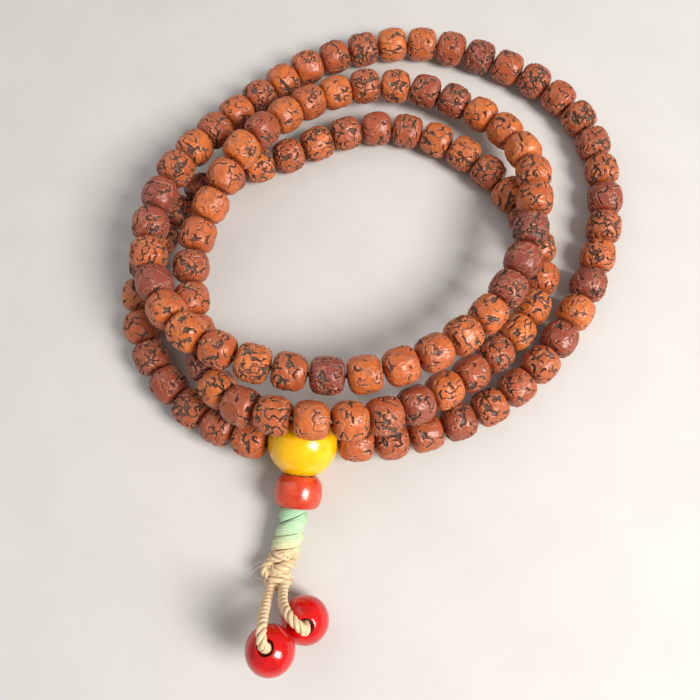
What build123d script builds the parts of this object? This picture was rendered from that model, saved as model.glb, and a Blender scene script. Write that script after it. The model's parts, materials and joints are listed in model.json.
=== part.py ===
from build123d import *
import math
import os

# Mala prayer beads, laid down in three loops on a flat surface. Millimetres.
# +Z is up, z = 0 is the surface, and the tail points towards -Y.
# The origin is under the middle of the whole object.

PAST_SURFACE = 1.0             # a cut runs this far past the surface it leaves by

# ---------------------------------------------------------------- seed beads
BEAD_COUNT = 108
BEAD_DIAMETER = 8.8
BEAD_LENGTH = 7.5
BEAD_VARIATION = 0.08          # how far one seed's diameter differs from the next
BEAD_HOLE_RADIUS = 1.05
BEAD_END_RADIUS = 1.55         # flat ring round the hole at each end
LOOSE_FROM = 73                # the seeds from here on are free to turn, one by one
GROUP_SIZE = 9                 # the seeds before it are kept in groups of this many
STRING_DIAMETER = 1.3

# ---------------------------------------------------------------- guru bead
GURU_CENTRE = Vector(-17.5, -33.5, 7.8)
GURU_RADIUS = 7.8
GURU_STRING_HOLE_RADIUS = 1.35  # wide enough for the string to sag to the seeds beside it
TAIL_HOLE_RADIUS = 2.7         # the third hole, where it starts at the middle
TAIL_MOUTH_RADIUS = 4.0        # the same hole where it leaves, wide for the tail to swing
TAIL_HOLE_BACK = 2.4           # how far the third hole reaches behind the middle
INNER_KNOT_RADIUS = 1.9
GURU_GAP = 0.40                # between the guru and the seed on each side of it

# ---------------------------------------------------------------- tail
TAIL_DIRECTION = Vector(-0.088, -0.972, -0.210).normalized()
TAIL_CORD_DIAMETER = 2.2
TAIL_CORD_SPACING = 2.36       # between the two cords that run side by side
BARREL_DIAMETER = 10.8
BARREL_LENGTH = 6.6
BARREL_BORE_RADIUS = 2.5
BARREL_END_RADIUS = 3.7
BARREL_FROM_GURU = 11.05       # centre to centre
WRAP_RADIUS = 3.0
WRAP_BORE_RADIUS = 2.42
WRAP_START = 14.65             # from the guru's centre, along the tail
TAIL_BEND = GURU_CENTRE + TAIL_DIRECTION * 18.0
TAIL_END = Vector(-21.8, -58.4, 3.5)
TAIL_BEND_RADIUS = 15.0

# ---------------------------------------------------------------- knot and pendants
KNOT_LENGTH = 5.0
KNOT_GAP = 0.35                # between the wrap and the knot
KNOT_RADIUS = 3.1
KNOT_WAIST_RADIUS = 2.7
KNOT_SLOT_BOTTOM = 1.9         # above the surface
KNOT_SLOT_BACK = -59.5         # the slot's closed end, in Y
KNOT_SLOT_HEIGHT = 3.5         # room for the two cords that leave the knot
PENDANT_RADIUS = 5.15
PENDANT_HOLE_RADIUS = 1.3
PENDANT_FLARE = 0.5            # the hole opens out a little at the top
PENDANT_SEAT_RADIUS = 2.1      # wider part of the hole, which hides the stopper knot
PENDANT_SEAT_DEPTH = 3.2
STOPPER_RADIUS = 1.8
STOPPER_LENGTH = 1.9
STOPPER_ROUNDING = 0.8
STOPPER_GAP = 0.08             # between the cord's end and its stopper knot
LEFT_PENDANT_CENTRE = Vector(-23.0, -75.9, 11.8)
LEFT_PENDANT_AXIS = Vector(-0.10, 0.21, 0.97).normalized()
RIGHT_PENDANT_CENTRE = Vector(-16.5, -70.7, 5.2)
RIGHT_PENDANT_AXIS = Vector(0.08, -0.21, 0.97).normalized()
CORD_END_BELOW_CENTRE = 2.2    # the cord stops on its stopper knot, this far under the middle

# The string's line: out of the guru's left side, three times round, back into its right side.
STRING_ROUTE = [
    # out of the guru and round the left, on the surface
    (-19.6, -33.5, 7.8), (-28.5, -33.2, 7.0), (-39.5, -28.5, 5.0), (-49.5, -20.0, 4.5),
    (-56.5, -8.5, 4.5), (-58.5, 3.5, 4.5), (-56.0, 15.0, 4.5), (-51.0, 25.5, 4.5),
    (-43.5, 33.5, 4.5), (-33.0, 38.0, 4.5), (-21.5, 42.0, 4.5), (-10.5, 48.0, 4.5),
    # the inner row at the back, and down the right under the second loop
    (0.5, 50.5, 4.5), (12.0, 48.5, 4.5), (23.0, 42.5, 4.5), (31.5, 34.0, 4.5),
    (37.5, 24.5, 4.5), (40.5, 14.0, 4.5), (39.3, 3.5, 4.7), (34.0, -5.5, 5.4),
    # up and over the guru
    (24.5, -15.0, 7.2), (12.5, -23.5, 11.0), (1.0, -29.3, 15.2), (-10.5, -31.3, 19.6),
    (-22.0, -30.2, 20.0), (-31.5, -27.2, 16.0), (-38.2, -20.5, 12.0), (-41.5, -12.0, 9.9),
    # the second loop, up the left over the first
    (-43.5, -4.0, 10.0), (-45.0, 6.0, 10.8), (-43.5, 16.5, 11.2), (-38.5, 28.5, 12.4),
    (-33.0, 39.3, 14.2), (-24.5, 49.5, 10.2), (-15.0, 58.0, 7.0), (-2.0, 62.5, 6.2),
    (12.0, 61.0, 6.2), (25.0, 54.5, 6.8), (35.0, 44.0, 9.2), (38.5, 32.0, 12.8),
    (36.5, 19.5, 14.6), (32.5, 5.0, 13.8), (23.0, -7.5, 14.2), (11.0, -16.0, 17.0),
    # along the front, highest of all
    (-2.5, -20.8, 17.2), (-18.0, -20.5, 17.4), (-32.0, -17.2, 19.2), (-43.0, -11.5, 19.4),
    # the third loop, up the left on the outside, then down to the surface
    (-50.0, -3.0, 16.2), (-54.5, 10.0, 14.0), (-54.0, 22.0, 13.8), (-49.0, 34.5, 12.8),
    (-41.5, 46.5, 8.8), (-31.5, 58.0, 6.0), (-19.5, 69.0, 4.7), (-4.0, 75.3, 4.5),
    (12.0, 77.5, 4.5), (27.5, 73.3, 4.5), (43.0, 65.0, 4.5), (53.5, 54.5, 4.5),
    (58.0, 40.0, 4.5), (57.8, 25.5, 4.5), (54.0, 11.5, 4.5), (47.5, -2.0, 4.5),
    # back along the front, into the guru
    (37.5, -15.5, 4.5), (25.5, -25.3, 4.5), (10.5, -31.0, 4.6), (-1.0, -33.5, 6.0),
    (-9.0, -33.5, 7.5), (-15.4, -33.5, 7.8),
]

# Each pendant's cord: out of the knot, up and over, and down through the pendant's hole.
LEFT_CORD_ROUTE = [
    (-23.3, -60.7, 3.4), (-24.2, -65.0, 3.6), (-24.4, -66.8, 9.0), (-24.2, -67.8, 14.6),
    (-24.0, -69.7, 19.4), (-23.9, -72.2, 20.1), (-23.77, -74.36, 18.9),
]
RIGHT_CORD_ROUTE = [
    (-20.9, -60.7, 3.4), (-21.2, -65.4, 3.6), (-21.3, -66.9, 8.8), (-19.7, -69.1, 14.6),
    (-17.2, -70.9, 15.1), (-15.85, -72.42, 13.2),
]


def corner_radii(points):
    """The radius of each corner: as large as its two runs allow."""
    radii = []
    for before, corner, after in zip(points, points[1:], points[2:]):
        run_in = Vector(*corner) - Vector(*before)
        run_out = Vector(*after) - Vector(*corner)
        half_turn = math.radians(run_in.get_angle(run_out)) / 2
        shorter_run = min(run_in.length, run_out.length)
        radii.append(0.45 * shorter_run / math.tan(half_turn))
    return radii


def cord_line(name, points, bend_radius=None):
    """Straight runs joined by tangent arcs, all of one radius if it is given."""
    radii = corner_radii(points) if bend_radius is None else [bend_radius]
    print(name, "corner radii:", [round(radius, 1) for radius in radii])
    with BuildLine() as line:
        FilletPolyline(*points, radius=radii)
    return line.wires()[0]


def print_cord(name, solid, path, diameter):
    """Compare a cord's volume with its section times its length."""
    expected = math.pi * diameter**2 / 4 * path.length
    print(f"{name}: length {path.length:.1f}, volume {solid.volume:.1f}, expected {expected:.1f}")


def across(axis):
    """A direction square to the axis."""
    return axis.cross(Vector(0, 0, 1)).normalized()


def turning_plane(centre, axis):
    """A plane whose Y runs along the turning axis, for a profile to be revolved."""
    side = across(axis)
    return Plane(origin=centre, x_dir=side, z_dir=side.cross(axis))


def save(part, name):
    part.label = name
    export_step(part, f"parts/{name}.step")


os.makedirs("parts", exist_ok=True)

string_path = cord_line("main string", STRING_ROUTE)
guru_entry = GURU_RADIUS - (GURU_CENTRE.X - STRING_ROUTE[0][0])
first_bead_at = guru_entry + GURU_GAP + BEAD_LENGTH / 2
last_bead_at = string_path.length - first_bead_at
bead_pitch = (last_bead_at - first_bead_at) / (BEAD_COUNT - 1)
print("bead pitch", round(bead_pitch, 3))


def point_on_string(distance):
    return string_path.position_at(distance, position_mode=PositionMode.LENGTH)


def bead_place(number):
    """Centre and hole direction of a seed, counted from the guru's left side."""
    middle = first_bead_at + (number - 1) * bead_pitch
    start = point_on_string(middle - BEAD_LENGTH / 2)
    end = point_on_string(middle + BEAD_LENGTH / 2)
    centre = (start + end) * 0.25 + point_on_string(middle) * 0.5
    return centre, (end - start).normalized()


def bead_radius(number):
    """Seeds differ a little from one another."""
    return BEAD_DIAMETER / 2 + BEAD_VARIATION * math.sin(2.3 * number) / 2


def seed_profile(number):
    """Half of a seed's section: a barrel with round shoulders and a hole."""
    centre, axis = bead_place(number)
    half = BEAD_LENGTH / 2
    with BuildSketch(turning_plane(centre, axis)) as profile:
        with BuildLine():
            EllipticalCenterArc(
                (BEAD_END_RADIUS, 0),
                bead_radius(number) - BEAD_END_RADIUS,
                half,
                start_angle=-90,
                arc_size=180,
            )
            Polyline(
                (BEAD_END_RADIUS, half),
                (BEAD_HOLE_RADIUS, half),
                (BEAD_HOLE_RADIUS, -half),
                (BEAD_END_RADIUS, -half),
            )
        make_face()
    return profile.sketch, Axis(centre, axis)


# ---------------------------------------------------------------- seed beads, in groups
for first in range(1, LOOSE_FROM, GROUP_SIZE):
    last = first + GROUP_SIZE - 1
    with BuildPart() as seed_beads:
        for number in range(first, last + 1):
            profile, axis = seed_profile(number)
            revolve(profile, axis=axis)
    save(seed_beads.part, f"seed_beads_{first:03d}_to_{last:03d}")

# ---------------------------------------------------------------- seed beads, one by one
for number in range(LOOSE_FROM, BEAD_COUNT + 1):
    profile, axis = seed_profile(number)
    with BuildPart() as seed_bead:
        revolve(profile, axis=axis)
    save(seed_bead.part, f"seed_bead_{number:03d}")
    print(
        f"seed_bead_{number:03d} axis",
        [round(value, 4) for value in (*axis.position, *axis.direction)],
    )

# ---------------------------------------------------------------- main string
with BuildPart() as main_string:
    with BuildSketch(Plane(origin=string_path @ 0, z_dir=string_path % 0)):
        Circle(STRING_DIAMETER / 2)
    sweep(path=string_path)
print_cord("main string", main_string.part, string_path, STRING_DIAMETER)
save(main_string.part, "main_string")

# ---------------------------------------------------------------- guru bead
tail_hole_plane = turning_plane(GURU_CENTRE, TAIL_DIRECTION)
with BuildPart() as guru_bead:
    with Locations(GURU_CENTRE):
        Sphere(GURU_RADIUS)
    with BuildSketch(Plane(origin=GURU_CENTRE, z_dir=(1, 0, 0))):
        Circle(GURU_STRING_HOLE_RADIUS)
    extrude(amount=GURU_RADIUS + PAST_SURFACE, both=True, mode=Mode.SUBTRACT)
    with BuildSketch(tail_hole_plane):
        with BuildLine():
            Polyline(
                (0, -TAIL_HOLE_BACK),
                (TAIL_HOLE_RADIUS, -TAIL_HOLE_BACK),
                (TAIL_HOLE_RADIUS, INNER_KNOT_RADIUS),
                (TAIL_MOUTH_RADIUS, GURU_RADIUS + PAST_SURFACE),
                (0, GURU_RADIUS + PAST_SURFACE),
                close=True,
            )
        make_face()
    revolve(axis=Axis(GURU_CENTRE, TAIL_DIRECTION), mode=Mode.SUBTRACT)
save(guru_bead.part, "guru_bead")

# ---------------------------------------------------------------- knot inside the guru
with BuildPart() as inner_knot:
    with Locations(GURU_CENTRE):
        Sphere(INNER_KNOT_RADIUS)
save(inner_knot.part, "inner_knot")

# ---------------------------------------------------------------- the two cords of the tail
tail_side = across(TAIL_DIRECTION)
with BuildPart() as tail_cord_pair:
    for side in (-1, 1):
        shift = tail_side * (side * TAIL_CORD_SPACING / 2)
        points = [
            GURU_CENTRE + TAIL_DIRECTION * INNER_KNOT_RADIUS + shift,
            TAIL_BEND + shift,
            TAIL_END + shift,
        ]
        tail_path = cord_line("tail cord", [tuple(point) for point in points], TAIL_BEND_RADIUS)
        with BuildSketch(Plane(origin=tail_path @ 0, z_dir=tail_path % 0)):
            Circle(TAIL_CORD_DIAMETER / 2)
        sweep(path=tail_path)
save(tail_cord_pair.part, "tail_cord_pair")

# ---------------------------------------------------------------- barrel bead
barrel_centre = GURU_CENTRE + TAIL_DIRECTION * BARREL_FROM_GURU
barrel_axis = Axis(barrel_centre, TAIL_DIRECTION)
with BuildPart() as barrel_bead:
    with BuildSketch(turning_plane(barrel_centre, TAIL_DIRECTION)):
        with BuildLine():
            EllipticalCenterArc(
                (BARREL_END_RADIUS, 0),
                BARREL_DIAMETER / 2 - BARREL_END_RADIUS,
                BARREL_LENGTH / 2,
                start_angle=-90,
                arc_size=180,
            )
            Polyline(
                (BARREL_END_RADIUS, BARREL_LENGTH / 2),
                (BARREL_BORE_RADIUS, BARREL_LENGTH / 2),
                (BARREL_BORE_RADIUS, -BARREL_LENGTH / 2),
                (BARREL_END_RADIUS, -BARREL_LENGTH / 2),
            )
        make_face()
    revolve(axis=barrel_axis)
save(barrel_bead.part, "barrel_bead")

# ---------------------------------------------------------------- wrapped thread of the tail
wrap_start = GURU_CENTRE + TAIL_DIRECTION * WRAP_START
wrap_points = [tuple(wrap_start), tuple(TAIL_BEND), tuple(TAIL_END)]
wrap_path = cord_line("cord wrap", wrap_points, TAIL_BEND_RADIUS)
with BuildPart() as cord_wrap:
    with BuildSketch(Plane(origin=wrap_path @ 0, z_dir=wrap_path % 0)):
        Circle(WRAP_RADIUS)
        Circle(WRAP_BORE_RADIUS, mode=Mode.SUBTRACT)
    sweep(path=wrap_path)
save(cord_wrap.part, "cord_wrap")

# ---------------------------------------------------------------- knot at the tail's end
knot_axis = (TAIL_END - TAIL_BEND).normalized()
knot_middle = TAIL_END + knot_axis * (KNOT_GAP + KNOT_LENGTH / 2)
with BuildPart() as tail_knot:
    with BuildSketch(turning_plane(knot_middle, knot_axis)):
        with BuildLine():
            Spline(
                (WRAP_BORE_RADIUS, -KNOT_LENGTH / 2),
                (KNOT_RADIUS, -KNOT_LENGTH / 4),
                (KNOT_WAIST_RADIUS, 0),
                (KNOT_RADIUS, KNOT_LENGTH / 4),
                (WRAP_BORE_RADIUS, KNOT_LENGTH / 2),
            )
            Polyline(
                (WRAP_BORE_RADIUS, KNOT_LENGTH / 2),
                (0, KNOT_LENGTH / 2),
                (0, -KNOT_LENGTH / 2),
                (WRAP_BORE_RADIUS, -KNOT_LENGTH / 2),
            )
        make_face()
    revolve(axis=Axis(knot_middle, knot_axis))
    slot_middle = Vector(TAIL_END.X, KNOT_SLOT_BACK - KNOT_LENGTH, KNOT_SLOT_BOTTOM)
    with BuildSketch(Plane(origin=slot_middle)):
        Rectangle(4 * KNOT_RADIUS, 2 * KNOT_LENGTH)
    extrude(amount=KNOT_SLOT_HEIGHT, mode=Mode.SUBTRACT)
save(tail_knot.part, "tail_knot")


def pendant_cord_line(name, route, centre, axis):
    """The route down to the stopper knot, inside the pendant."""
    entrance = centre + axis * (PENDANT_RADIUS * 0.6) + across(axis) * 0.03
    end = centre - axis * CORD_END_BELOW_CENTRE
    return cord_line(name, route + [tuple(entrance), tuple(end)])


# ---------------------------------------------------------------- pendants
for side, route, centre, axis in (
    ("left", LEFT_CORD_ROUTE, LEFT_PENDANT_CENTRE, LEFT_PENDANT_AXIS),
    ("right", RIGHT_CORD_ROUTE, RIGHT_PENDANT_CENTRE, RIGHT_PENDANT_AXIS),
):
    hole_axis = Axis(centre, axis)
    path = pendant_cord_line(f"{side} pendant cord", route, centre, axis)
    with BuildPart() as pendant_cord:
        with BuildSketch(Plane(origin=path @ 0, z_dir=path % 0)):
            Circle(TAIL_CORD_DIAMETER / 2)
        sweep(path=path)
        with Locations(path @ 0):
            Sphere(TAIL_CORD_DIAMETER / 2)
    print_cord(f"{side} pendant cord", pendant_cord.part, path, TAIL_CORD_DIAMETER)
    save(pendant_cord.part, f"{side}_pendant_cord")

    with BuildPart() as pendant_bead:
        with Locations(centre):
            Sphere(PENDANT_RADIUS)
        with BuildSketch(turning_plane(centre, axis)):
            with BuildLine():
                Polyline(
                    (0, -PENDANT_RADIUS - PAST_SURFACE),
                    (PENDANT_SEAT_RADIUS, -PENDANT_RADIUS - PAST_SURFACE),
                    (PENDANT_SEAT_RADIUS, PENDANT_SEAT_DEPTH - PENDANT_RADIUS),
                    (PENDANT_HOLE_RADIUS, PENDANT_SEAT_DEPTH - PENDANT_RADIUS),
                    (PENDANT_HOLE_RADIUS, PENDANT_RADIUS - PENDANT_FLARE),
                    (PENDANT_HOLE_RADIUS + PENDANT_FLARE, PENDANT_RADIUS),
                    (PENDANT_HOLE_RADIUS + PENDANT_FLARE, PENDANT_RADIUS + PAST_SURFACE),
                    (0, PENDANT_RADIUS + PAST_SURFACE),
                    close=True,
                )
            make_face()
        revolve(axis=hole_axis, mode=Mode.SUBTRACT)
    save(pendant_bead.part, f"{side}_pendant_bead")

    stopper_depth = CORD_END_BELOW_CENTRE + STOPPER_GAP + STOPPER_LENGTH / 2
    knot_middle = centre - axis * stopper_depth
    with BuildPart() as stopper_knot:
        with Locations(Plane(origin=knot_middle, z_dir=axis)):
            Cylinder(STOPPER_RADIUS, STOPPER_LENGTH)
        fillet(stopper_knot.edges().filter_by(GeomType.CIRCLE), STOPPER_ROUNDING)
    save(stopper_knot.part, f"{side}_stopper_knot")
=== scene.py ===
import json
import math
import random

import bmesh
import bpy
import numpy as np
from mathutils import Matrix, Vector


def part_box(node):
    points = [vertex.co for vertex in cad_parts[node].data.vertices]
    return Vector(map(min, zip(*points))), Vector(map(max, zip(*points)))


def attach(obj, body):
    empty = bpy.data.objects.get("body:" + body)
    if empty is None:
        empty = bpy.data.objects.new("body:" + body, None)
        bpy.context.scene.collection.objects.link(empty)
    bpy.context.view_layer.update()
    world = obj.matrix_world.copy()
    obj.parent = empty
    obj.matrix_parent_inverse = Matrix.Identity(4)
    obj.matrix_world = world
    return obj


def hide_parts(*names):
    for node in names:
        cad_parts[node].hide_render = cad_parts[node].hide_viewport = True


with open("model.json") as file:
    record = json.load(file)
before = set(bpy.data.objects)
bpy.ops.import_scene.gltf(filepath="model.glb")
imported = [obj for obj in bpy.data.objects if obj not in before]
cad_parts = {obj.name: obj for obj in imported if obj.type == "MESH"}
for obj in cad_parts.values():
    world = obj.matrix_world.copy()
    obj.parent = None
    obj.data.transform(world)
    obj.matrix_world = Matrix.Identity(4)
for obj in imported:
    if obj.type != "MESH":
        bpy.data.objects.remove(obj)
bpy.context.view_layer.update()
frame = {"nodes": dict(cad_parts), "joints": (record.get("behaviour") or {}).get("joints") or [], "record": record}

# Mala prayer beads: three loops of carved seeds, a guru bead and a wrapped tail with two pendants.
# The frame is the CAD's: metres, +Z up, z = 0 is the surface that the beads lie on. Shapes are worked
# out in millimetres, and MM makes them metres.

MM = 0.001

# ---------------------------------------------------------------- camera and light
CAMERA_PLACE = Vector((-0.0070, -0.0592, 0.1626))
CAMERA_AIM = Vector((-0.0070, -0.0095, 0.0))
LENS = 35.85
SENSOR = 36.0

camera = bpy.data.objects.new("camera", bpy.data.cameras.new("camera"))
bpy.context.scene.collection.objects.link(camera)
camera.location = CAMERA_PLACE
camera.rotation_euler = (CAMERA_AIM - CAMERA_PLACE).to_track_quat("-Z", "Y").to_euler()
camera.data.lens = LENS
camera.data.sensor_width = SENSOR
camera.data.clip_start = 0.005
bpy.context.scene.camera = camera


def area_light(name, place, aim, size, power, colour):
    """A soft rectangular light in metres and watts."""
    light = bpy.data.lights.new(name, "AREA")
    light.shape = "RECTANGLE"
    light.size, light.size_y = size
    light.energy = power
    light.color = colour
    obj = bpy.data.objects.new(name, light)
    bpy.context.scene.collection.objects.link(obj)
    obj.location = place
    obj.rotation_euler = (Vector(aim) - Vector(place)).to_track_quat("-Z", "Y").to_euler()


area_light("window", (0.34, -0.20, 0.42), (0, -0.01, 0), (0.21, 0.27), 4.3, (1.0, 0.97, 0.93))
area_light("fill", (-0.45, 0.35, 0.5), (0, 0, 0), (0.7, 0.7), 1.3, (0.95, 0.97, 1.0))

world = bpy.data.worlds.new("studio")
bpy.context.scene.world = world
world.use_nodes = True
world.node_tree.nodes["Background"].inputs["Color"].default_value = (1.0, 0.98, 0.95, 1)
world.node_tree.nodes["Background"].inputs["Strength"].default_value = 0.36
bpy.context.scene.view_settings.view_transform = "Standard"


# ---------------------------------------------------------------- material helpers
class Shading:
    """One procedural material, and short ways to add its nodes."""

    def __init__(self, name, **values):
        self.material = bpy.data.materials.new(name)
        self.material.use_nodes = True
        self.tree = self.material.node_tree
        self.shader = self.tree.nodes["Principled BSDF"]
        for socket, value in values.items():
            self.shader.inputs[socket.replace("_", " ")].default_value = value

    def add(self, kind, inputs=(), **settings):
        made = self.tree.nodes.new("ShaderNode" + kind)
        for key, value in settings.items():
            setattr(made, key, value)
        for key, value in dict(inputs).items():
            self.set(made.inputs[key], value)
        return made

    def set(self, socket, value):
        if isinstance(value, bpy.types.NodeSocket):
            self.tree.links.new(value, socket)
        else:
            socket.default_value = value

    def give(self, socket, value):
        self.set(self.shader.inputs[socket], value)

    def attribute(self, name, output="Fac"):
        return self.add("Attribute", attribute_name=name).outputs[output]

    def noise(self, vector, scale, detail=2.0, roughness=0.5, distortion=0.0):
        inputs = {"Vector": vector, "Scale": scale, "Detail": detail}
        inputs.update({"Roughness": roughness, "Distortion": distortion})
        return self.add("TexNoise", inputs).outputs["Fac"]

    def stretched(self, vector, scale):
        inputs = {0: vector, 1: scale}
        return self.add("VectorMath", inputs, operation="MULTIPLY").outputs[0]

    def maths(self, operation, a, b=0.0):
        return self.add("Math", {0: a, 1: b}, operation=operation).outputs[0]

    def smooth(self, value, low, high, to_low=0.0, to_high=1.0):
        inputs = {"Value": value, "From Min": low, "From Max": high}
        inputs.update({"To Min": to_low, "To Max": to_high})
        made = self.add("MapRange", inputs, interpolation_type="SMOOTHSTEP")
        return made.outputs["Result"]

    def ramp(self, value, stops):
        made = self.add("ValToRGB", {"Fac": value})
        elements = made.color_ramp.elements
        while len(elements) < len(stops):
            elements.new(0.5)
        for element, (place, colour) in zip(elements, stops):
            element.position = place
            element.color = (*colour, 1)
        return made.outputs["Color"]

    def mix(self, share, a, b, blend="MIX"):
        made = self.add("Mix", data_type="RGBA", blend_type=blend)
        self.set(made.inputs[0], share)
        self.set(made.inputs[6], a)
        self.set(made.inputs[7], b)
        return made.outputs[2]

    def bump(self, height):
        """The normal of a surface that is raised by height, in millimetres."""
        inputs = {"Height": height, "Strength": 1.0, "Distance": MM}
        return self.add("Bump", inputs).outputs["Normal"]


def linear(red, green, blue):
    """A colour as seen, 0 to 255, made linear."""
    return tuple(
        ((c / 255 + 0.055) / 1.055) ** 2.4 if c > 10 else c / 3294.6 for c in (red, green, blue)
    )


# ---------------------------------------------------------------- materials
def seed_material():
    """Waxed seed skin with dark carved grooves. It reads the layers that seed_mesh makes."""
    s = Shading("carved_seed", IOR=1.5, Coat_Weight=0.24, Coat_Roughness=0.26)
    place = s.attribute("place", "Vector")
    tint = s.attribute("tint")
    wobble = s.noise(place, 2.2, 3.0, 0.6)
    veins = s.maths("SUBTRACT", s.maths("ABSOLUTE", s.attribute("veins")), s.attribute("breadth"))
    groove = s.maths("MINIMUM", s.attribute("groove"), veins)
    ragged = s.maths("MULTIPLY", s.maths("SUBTRACT", wobble, 0.5), 0.34)
    groove = s.maths("ADD", groove, ragged)
    inside = s.smooth(groove, -0.05, 0.05, 1.0, 0.0)
    near = s.smooth(groove, 0.0, 0.30, 1.0, 0.0)
    rise = s.smooth(groove, 0.04, 0.10)
    fall = s.smooth(groove, 0.14, 0.28, 1.0, 0.0)
    rim = s.maths("MULTIPLY", rise, fall)
    # fine wrinkles: thin lines where a swirled noise passes its middle
    swirl = s.noise(place, 0.75, 3.0, 0.55, 1.2)
    off_middle = s.maths("ABSOLUTE", s.maths("SUBTRACT", swirl, 0.5))
    line = s.smooth(off_middle, 0.004, 0.022, 1.0, 0.0)
    patches = s.smooth(s.noise(place, 0.35, 1.0), 0.46, 0.60)
    wrinkle = s.maths("MULTIPLY", line, patches)
    cloud = s.noise(place, 0.42, 3.0, 0.6)
    speck = s.noise(place, 6.0, 2.0, 0.6)
    skin = s.ramp(
        tint,
        [
            (0.0, linear(128, 58, 50)),
            (0.35, linear(164, 78, 46)),
            (0.7, linear(198, 98, 44)),
            (1.0, linear(220, 118, 48)),
        ],
    )
    skin = s.mix(s.smooth(cloud, 0.35, 0.7, 0.0, 0.50), skin, (*linear(150, 66, 40), 1))
    skin = s.mix(s.smooth(speck, 0.5, 0.8, 0.0, 0.35), skin, (*linear(112, 50, 40), 1))
    skin = s.mix(s.maths("MULTIPLY", near, 0.50), skin, (*linear(122, 56, 40), 1))
    # painted highlight: the skin is painted lighter along the rims of the grooves, where their edges would catch
    # the light
    skin = s.mix(s.maths("MULTIPLY", rim, 0.30), skin, (*linear(226, 150, 108), 1))
    skin = s.mix(s.maths("MULTIPLY", wrinkle, 0.55), skin, (*linear(96, 44, 36), 1))
    # the groove floors: their own dark brown, with lighter grey patches that are painted highlight, the light
    # caught by the rough floors
    floor = s.ramp(
        s.noise(place, 1.6, 3.0, 0.7),
        [(0.3, linear(50, 34, 27)), (0.5, linear(84, 62, 50)), (0.72, linear(138, 116, 98))],
    )
    s.give("Base Color", s.mix(inside, skin, floor))
    skin_or_floor = s.smooth(inside, 0.0, 1.0, 0.36, 0.72)
    s.give("Roughness", s.maths("ADD", skin_or_floor, s.smooth(speck, 0.3, 0.8, -0.03, 0.08)))
    height = s.maths("ADD", s.maths("MULTIPLY", inside, -0.20), s.maths("MULTIPLY", rim, 0.05))
    height = s.maths("ADD", height, s.maths("MULTIPLY", wrinkle, -0.035))
    height = s.maths("ADD", height, s.maths("MULTIPLY", speck, 0.012))
    height = s.maths("ADD", height, s.maths("MULTIPLY", s.noise(place, 1.1, 3.0, 0.6), 0.07))
    s.give("Normal", s.bump(height))
    return s.material


def resin_material(name, deep, light, pits, roughness, soft=0.0):
    """Polished resin: clouds of two colours, faint scratches, a few pits, and painted shade inside its holes."""
    s = Shading(name, IOR=1.42, Coat_Weight=0.5, Coat_Roughness=0.07)
    if soft:
        s.give("Subsurface Weight", soft)
        s.give("Subsurface Radius", (1.0, 0.45, 0.15))
        s.give("Subsurface Scale", 0.0025)
    place = s.attribute("place", "Vector")
    cloud = s.smooth(s.noise(place, 0.33, 4.0, 0.62, 0.6), 0.34, 0.68)
    pit = s.smooth(s.noise(place, 1.5, 2.0, 0.5), 0.70, 0.78)
    pit = s.maths("MULTIPLY", pit, pits)
    scratch = s.noise(s.stretched(place, (3.0, 0.25, 3.0)), 1.6, 2.0, 0.7)
    colour = s.mix(cloud, (*deep, 1), (*light, 1))
    colour = s.mix(s.maths("MULTIPLY", pit, 0.5), colour, (*[c * 0.45 for c in deep], 1))
    # painted shade: the colour is darkened deep inside the holes
    bore = s.smooth(s.attribute("bore"), 0.0, 1.0, 1.0, 0.16)
    colour = s.mix(1.0, colour, bore, "MULTIPLY")
    s.give("Base Color", colour)
    s.give("Roughness", s.smooth(scratch, 0.3, 0.75, roughness - 0.05, roughness + 0.10))
    height = s.maths("ADD", s.maths("MULTIPLY", pit, -0.10), s.maths("MULTIPLY", scratch, 0.010))
    height = s.maths("ADD", height, s.maths("MULTIPLY", cloud, 0.02))
    s.give("Normal", s.bump(height))
    return s.material


def cord_material(name, stops):
    """Twisted fibre: its colour follows the shade attribute, with fine fibres along each strand, and painted shade
    where a point lies deep in its rope.
    """
    s = Shading(name, IOR=1.45, Roughness=0.62, Sheen_Weight=0.25, Sheen_Roughness=0.4)
    fibre = s.attribute("fibre", "Vector")
    place = s.attribute("place", "Vector")
    uneven = s.smooth(s.noise(place, 0.55, 2.0), 0.3, 0.7, -0.10, 0.10)
    shade = s.maths("ADD", s.attribute("shade"), uneven)
    threads = s.noise(s.stretched(fibre, (0.55, 5.0, 1.0)), 1.0, 3.0, 0.65)
    streaks = s.noise(s.stretched(fibre, (0.9, 13.0, 1.0)), 1.0, 2.0, 0.6)
    colour = s.ramp(shade, stops)
    colour = s.mix(s.smooth(threads, 0.42, 0.70, 0.0, 0.35), colour, (*linear(250, 238, 216), 1))
    colour = s.mix(s.smooth(streaks, 0.36, 0.60, 0.30, 0.0), colour, (*linear(150, 110, 74), 1))
    # painted shade: points deep inside a rope, between its plies and between the wrap's bands, are painted dark
    # brown
    deep = s.smooth(s.attribute("depth"), 0.0, 1.0, 0.0, 0.80)
    s.give("Base Color", s.mix(deep, colour, (*linear(104, 70, 46), 1)))
    height = s.maths("ADD", s.maths("MULTIPLY", threads, 0.10), s.maths("MULTIPLY", streaks, 0.06))
    s.give("Normal", s.bump(height))
    return s.material


CREAM = [(0.0, linear(214, 178, 128)), (0.5, linear(236, 206, 160)), (1.0, linear(247, 226, 190))]
STRING_CREAM = [(0.0, linear(196, 160, 112)), (1.0, linear(232, 204, 160))]
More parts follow.
